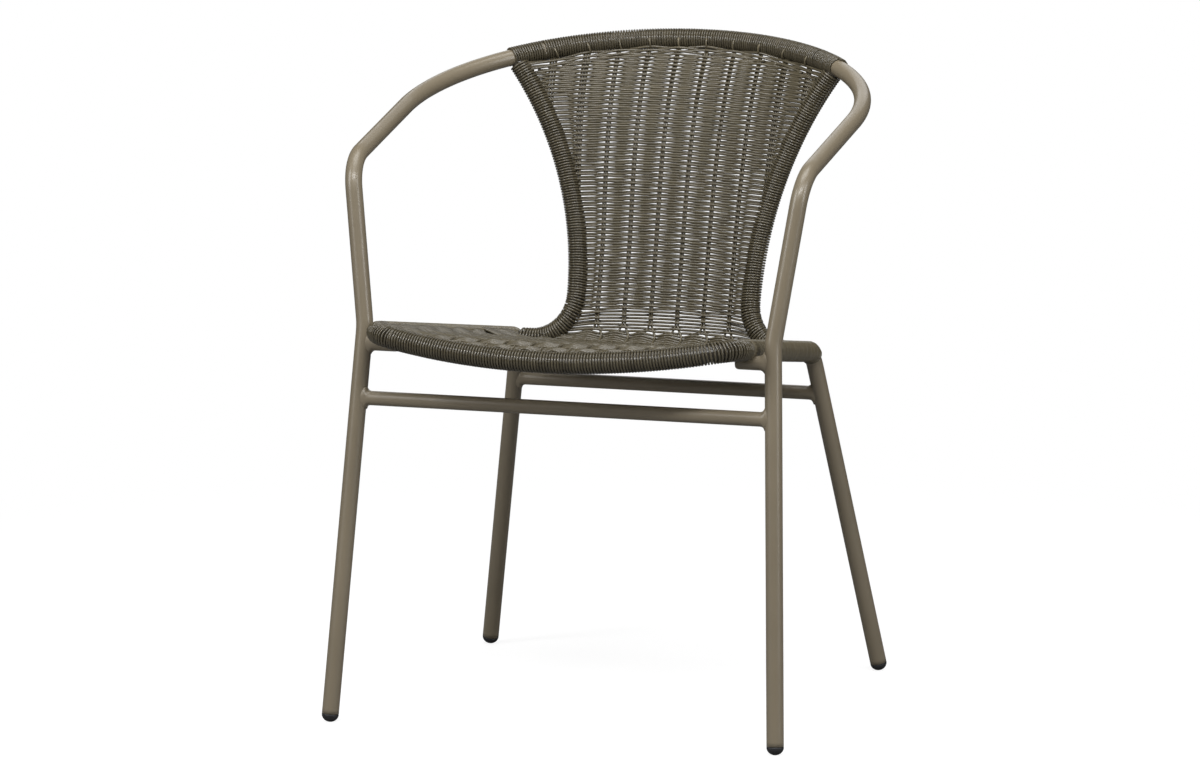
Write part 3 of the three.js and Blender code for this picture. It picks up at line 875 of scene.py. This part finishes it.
def back_row(row):
    """A row of the back's weft, as far across as the strands under the top rail let it run."""
    level = row_heights[row]
    edge = along(back_tube_line, back_row_run(row + bend_rows))[0]
    spread = np.linspace(-edge, edge, int(2 * edge / weft_step))
    height = level - row_arch * (spread / edge) ** 2
    height = height + wobble(len(spread), wander_steps, back_wander)
    free = height < border_height(spread, border_strands - border_overlap)
    points, facing = back_points(spread[free], height[free])
    numbers, stakes = stakes_at(level, points[-1, 0])
    signs = alternate(numbers, row)
    ends = np.array([-signs[0], -signs[-1]]) * (row_end_lift if free.all() else cut_end_lift)
    return woven(points, nested(facing), stakes, signs, back_lift, ends, back_flatness)


def border_row(place):
    """One of the strands along under the top rail, from side tube to side tube."""
    spread = np.linspace(-top_joint_spread, top_joint_spread, border_steps)
    wander = wobble(border_steps, border_wander_steps, border_wander)
    height = border_height(spread, place) + wander
    inside = np.abs(spread) < back_spread_at(height)
    points, facing = back_points(spread[inside], height[inside])
    numbers, stakes = stakes_at(top_joint[2], points[-1, 0])
    signs = alternate(numbers, place)
    ends = (thin_radius, thin_radius)
    return woven(points, facing, stakes, signs, back_lift * border_lift_share, ends, border_flatness)


# The strands of the seat lie in bundles, which carry on into the round turn
bundle_overrun = 10.5 * mm
bundle_crest = 2.4 * mm
least_crest_share = 0.22
crest_range_share = 0.78
turn_bundle_lead = 0.8
turn_samples = 41
edge_blend_from_share = 0.7
edge_blend_share = 0.3
bundle_end_setback = bend_foot_setback + bundle_overrun
bundle_rate = (bend_foot_setback + front_rail_bow) / (bundle_end_setback + front_rail_bow)
turn_bundle_step = weft_pitch * seat_bundles / (bundle_end_setback + front_rail_bow)


def bundle_lift(share):
    """The strands in the middle of a bundle bend furthest over its stakes."""
    return bundle_crest * (least_crest_share + crest_range_share * math.sin(math.pi * share))


def seat_stakes_within(reach):
    numbers = np.arange(-seat_stake_count, seat_stake_count)
    stakes = (numbers + 0.5) * seat_stake_spacing
    inside = np.abs(stakes) < reach - outer_stake_room
    return numbers[inside], stakes[inside]


def turn_row(row):
    """One row of the round turn. The first few carry on the bundles of the seat."""
    bar = along(back_tube_line, back_row_run(row))
    edge = bar[0]
    spread = np.linspace(-edge, edge, int(2 * edge / weft_step))
    shares = np.linspace(0, 1, turn_samples)
    turn = np.concatenate([bend_points(np.zeros(1), share)[0] for share in shares])
    turn_run = run_of(turn)
    share = float(np.interp(turn_run[-1] * (row + 0.5) / bend_rows, turn_run, shares))
    points, facing = bend_points(spread, share)
    near_share = ease((np.abs(spread) - edge_blend_from_share * edge) / (edge_blend_share * edge))
    bars = np.stack([spread, np.full_like(spread, bar[1]), np.full_like(spread, bar[2])], axis=-1)
    points = points + (bars - points) * near_share[:, None]
    if row < bundled_turn_rows:
        bundles_before = seat_bundles * bundle_rate + turn_bundle_step * (row + turn_bundle_lead)
        bundle_share, bundle = math.modf(bundles_before)
        numbers, stakes = seat_stakes_within(edge)
        signs = alternate(numbers, bundle)
        lift = bundle_lift(bundle_share)
        return woven(points, facing, stakes, signs, lift, (0, 0), seat_flatness)
    numbers, stakes = stakes_at(back_low, waist_spread)
    signs = alternate(numbers, row - bend_rows)
    return woven(points, facing, stakes, signs, back_lift, (0, 0), turn_flatness)


back_rows = [turn_row(row) for row in range(bend_rows)]
back_rows += [back_row(row) for row in range(len(row_heights))]
back_rows += [border_row(place) for place in range(border_strands)]
wicker_piece("back_weft", back_rows, weft_wicker, ["back_weave"], weft_radius)

# The turns round a side tube, looser at its foot
loose_turns = loose_run / loose_pitch
loose_end = wrap_start_run + loose_run
tight_end = back_run[-1] - main_radius
edge_radius = thin_wound_radius + edge_slack
for side_name, flip in sides.items():
    loose = winding(back_tube_line, wrap_start_run, loose_end, loose_pitch, edge_radius, front_axis)
    tight = winding(
        back_tube_line,
        loose_end,
        tight_end,
        back_edge_pitch,
        edge_radius,
        front_axis,
        first_turn=loose_turns,
    )
    paths = [loose * flip, tight * flip]
    nodes = [f"back_edge_wrap_{side_name}"]
    wicker_piece(f"back_edge_winding_{side_name}", paths, painted_shade_edge_wicker, nodes)


# Woven seat

seat_rows = round((bend_foot_setback - seat_corner[1]) / seat_pitch)
first_rear_share = 0.035
seat_row_lead = 0.2
seat_row_steps = 110
seat_wander = 0.18 * mm


def seat_row(row):
    """One strand across the seat. Its height in its bundle sets how far it bends."""
    rear_share = first_rear_share + (1 - first_rear_share) * (row + seat_row_lead) / seat_rows
    points, facing = seat_points(np.linspace(-1, 1, seat_row_steps), rear_share)
    points[:, 1] += wobble(len(points), wander_steps, seat_wander)
    bundle_share, bundle = math.modf(seat_bundles * rear_share * bundle_rate)
    numbers, stakes = seat_stakes_within(points[-1, 0])
    signs = alternate(numbers, bundle)
    ends = (seat_end_lift, seat_end_lift)
    return woven(points, facing, stakes, signs, bundle_lift(bundle_share), ends, seat_flatness)


seat_strands = [seat_row(row) for row in range(seat_rows)]
wicker_piece("seat_weft", seat_strands, seat_wicker, ["seat_weave"], weft_radius, coarse_strand_sides)

rail_run = run_of(side_rail_line)
wrap_end_run = (rail_run[1] + rail_run[-2]) / 2
for side_name, flip in sides.items():
    coil = winding(side_rail_line, wrap_gap, wrap_end_run, side_rail_pitch, wound_radius, side_axis)
    nodes = [f"side_rail_wrap_{side_name}"]
    wicker_piece(f"side_rail_winding_{side_name}", [coil * flip], painted_light_rail_wicker, nodes)


# Stakes of the seat and back

seat_stake_step = 6 * mm
back_stake_step = 7 * mm
turn_shares = np.linspace(0.15, 0.95, 8)
twin_from_share = 0.45
twin_over_share = 0.3
stake_top_share = 0.8
outer_stake_rise = 6 * mm
stake_end_room = 4 * mm
side_stake_numbers = (3.5, 4.5)
side_stake_offsets = (-2, 0, 2)
full_stakes = 3
side_ties = 5
rise_samples = 200
setback_samples = 60


def seat_stake(spread, end_setback):
    """A stake's run back from the front rail, in the middle of the weave."""
    start = front_rail_at(np.array(spread / seat_corner[0]))
    setbacks = np.arange(start[1], end_setback, seat_stake_step)
    rail = side_rail_at(setbacks)[:, 0]
    height = seat_height_at(spread / rail, setbacks)
    height[0] = start[2]
    return np.stack([np.full_like(setbacks, spread), setbacks, height], axis=-1)


def back_stake(number, twin):
    """A stake that runs from the front rail along the seat, and up the back to the top rail."""
    seat_spread = (2 * number + (1 if twin > 0 else 0) + 0.5) * seat_stake_spacing
    flat = seat_stake(seat_spread, bend_foot_setback - seat_stake_step)
    back_spread = (number + 0.5) * stake_spacing + twin * stake_radius
    paired_shares = ease((turn_shares - twin_from_share) / twin_over_share)
    spreads = seat_spread + (back_spread - seat_spread) * paired_shares
    places = zip(spreads, turn_shares)
    turn = [bend_points(np.array([spread]), share)[0] for spread, share in places]
    stand = upright(number + 0.5, twin * stake_radius, back_low + row_arch)
    return np.concatenate([flat, *turn, stand])


def upright(number, twin_offset, start_height):
    """The part of a stake that stands in the back."""
    top = hoop_at(number * top_stake_spacing)[1] - main_wrap_radius * stake_top_share
    heights = np.append(np.arange(start_height, top, back_stake_step), top)
    return back_points(number * stake_spacing_at(heights) + twin_offset, heights)[0]


stake_paths = []
for number in range(-full_stakes, full_stakes):
    stake_paths += [back_stake(number, -1), back_stake(number, 1)]
for number in side_stake_numbers:
    meet = number * stake_spacing + outer_stake_rise
    rises = np.linspace(turn_top, top_joint[2], rise_samples)
    start_height = float(np.interp(meet, back_spread_at(rises), rises))
    for mirror in (-1, 1):
        for twin_offset in side_stake_offsets:
            stake_paths.append(upright(mirror * number, twin_offset * stake_radius, start_height))
for number in range(2 * full_stakes, seat_stake_count):
    spread = (number + 0.5) * seat_stake_spacing
    setbacks = np.linspace(0, bend_foot_setback - stake_end_room, setback_samples)
    end_setback = setbacks[seat_edge_at(setbacks) > spread + outer_stake_room].max()
    for mirror in (-1, 1):
        stake_paths.append(seat_stake(spread, end_setback) * np.array([mirror, 1, 1]))
stakes = swept("stakes", stake_paths, stake_radius, coarse_strand_sides)
paint_with(stakes, stake_wicker)
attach(stakes, "root")

tie_paths = [tie_strand(number + 0.5) for number in range(-side_ties, side_ties)]
ties = swept("stake_ends", tie_paths, end_strand, strand_sides)
paint_with(ties, end_wicker)
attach(ties, "root")


# Floor, light and camera

floor_reach = 6.0
floor_base = (0.2, 0.2, 0.2)
floor_glow = 0.86
fade_from = 0.45
fade_to = 1.5
world_glow = 0.07
focal_length = 165.3
camera_place = (1.9716, -5.8042, 1.3151)
camera_dip = 8.961
camera_turn = 18.986


def backdrop():
    """A white floor that takes the chair's shadow and fades into the white behind."""
    shell = bmesh.new()
    bmesh.ops.create_grid(shell, x_segments=2, y_segments=2, size=floor_reach)
    mesh = bpy.data.meshes.new("floor")
    shell.to_mesh(mesh)
    shell.free()
    floor = bpy.data.objects.new("floor", mesh)
    bpy.context.scene.collection.objects.link(floor)
    material, shader = new_material("white_floor", floor_base, 0.9)
    nodes = material.node_tree.nodes
    sight = add(material, "ShaderNodeLightPath")
    glow = add(material, "ShaderNodeEmission", strength=floor_glow)
    both = add(material, "ShaderNodeAddShader")
    fade = add(material, "ShaderNodeMixShader")
    white = add(material, "ShaderNodeEmission", strength=1.0)
    place = add(material, "ShaderNodeTexCoord")
    distance = add(material, "ShaderNodeVectorMath", operation="LENGTH")
    far_share = add(material, "ShaderNodeMapRange", interpolation_type="SMOOTHSTEP")
    far_share.inputs["From Min"].default_value = fade_from
    far_share.inputs["From Max"].default_value = fade_to
    link(material, place.outputs["Object"], distance.inputs[0])
    link(material, distance.outputs["Value"], far_share.inputs["Value"])
    choice = add(material, "ShaderNodeMixShader")
    link(material, shader.outputs["BSDF"], both.inputs[0])
    link(material, glow.outputs["Emission"], both.inputs[1])
    link(material, sight.outputs["Is Camera Ray"], choice.inputs["Fac"])
    link(material, shader.outputs["BSDF"], choice.inputs[1])
    link(material, far_share.outputs["Result"], fade.inputs["Fac"])
    link(material, both.outputs["Shader"], fade.inputs[1])
    link(material, white.outputs["Emission"], fade.inputs[2])
    link(material, fade.outputs["Shader"], choice.inputs[2])
    link(material, choice.outputs["Shader"], nodes["Material Output"].inputs["Surface"])
    mesh.materials.append(material)


def white_world():
    """White to the camera, and faint as a light."""
    world = bpy.data.worlds.new("white_studio")
    bpy.context.scene.world = world
    world.use_nodes = True
    nodes = world.node_tree.nodes
    links = world.node_tree.links
    shine = nodes["Background"]
    shine.inputs["Color"].default_value = (1, 1, 1, 1)
    shine.inputs["Strength"].default_value = world_glow
    seen = nodes.new("ShaderNodeBackground")
    seen.inputs["Strength"].default_value = 1
    seen.inputs["Color"].default_value = (1, 1, 1, 1)
    sight = nodes.new("ShaderNodeLightPath")
    choice = nodes.new("ShaderNodeMixShader")
    links.new(sight.outputs["Is Camera Ray"], choice.inputs["Fac"])
    links.new(shine.outputs["Background"], choice.inputs[1])
    links.new(seen.outputs["Background"], choice.inputs[2])
    links.new(choice.outputs["Shader"], nodes["World Output"].inputs["Surface"])


def soft_lamp(name, place, target, width, height, power):
    """A rectangular lamp that faces its target."""
    lamp = bpy.data.lights.new(name, "AREA")
    lamp.shape = "RECTANGLE"
    lamp.size = width
    lamp.size_y = height
    lamp.energy = power
    holder = bpy.data.objects.new(name, lamp)
    holder.location = place
    direction = Vector(target) - Vector(place)
    holder.rotation_euler = direction.to_track_quat("-Z", "Y").to_euler()
    bpy.context.scene.collection.objects.link(holder)


def camera():
    """The photo's view: the camera dips below level, and is turned about the upright, in degrees."""
    lens = bpy.data.cameras.new("camera")
    lens.sensor_width = 36
    lens.lens = focal_length
    holder = bpy.data.objects.new("camera", lens)
    holder.location = camera_place
    holder.rotation_euler = (math.radians(90 - camera_dip), 0, math.radians(camera_turn))
    bpy.context.scene.collection.objects.link(holder)
    bpy.context.scene.camera = holder


chair_middle = (0, 0, 0.42)
backdrop()
white_world()
soft_lamp("left_lamp", (-2.2, -2.4, 2.0), chair_middle, width=0.9, height=2.2, power=62)
soft_lamp("right_lamp", (2.9, -0.9, 1.5), chair_middle, width=0.8, height=2.2, power=36)
soft_lamp("top_lamp", (0.2, -0.3, 3.2), chair_middle, width=2.2, height=1.6, power=52)
soft_lamp("front_strip", (0.7, -2.2, 2.5), chair_middle, width=2.6, height=0.3, power=60)
soft_lamp("back_lamp", (-0.6, 3.0, 2.2), chair_middle, width=2.4, height=1.4, power=14)
camera()
bpy.context.scene.view_settings.view_transform = "Standard"
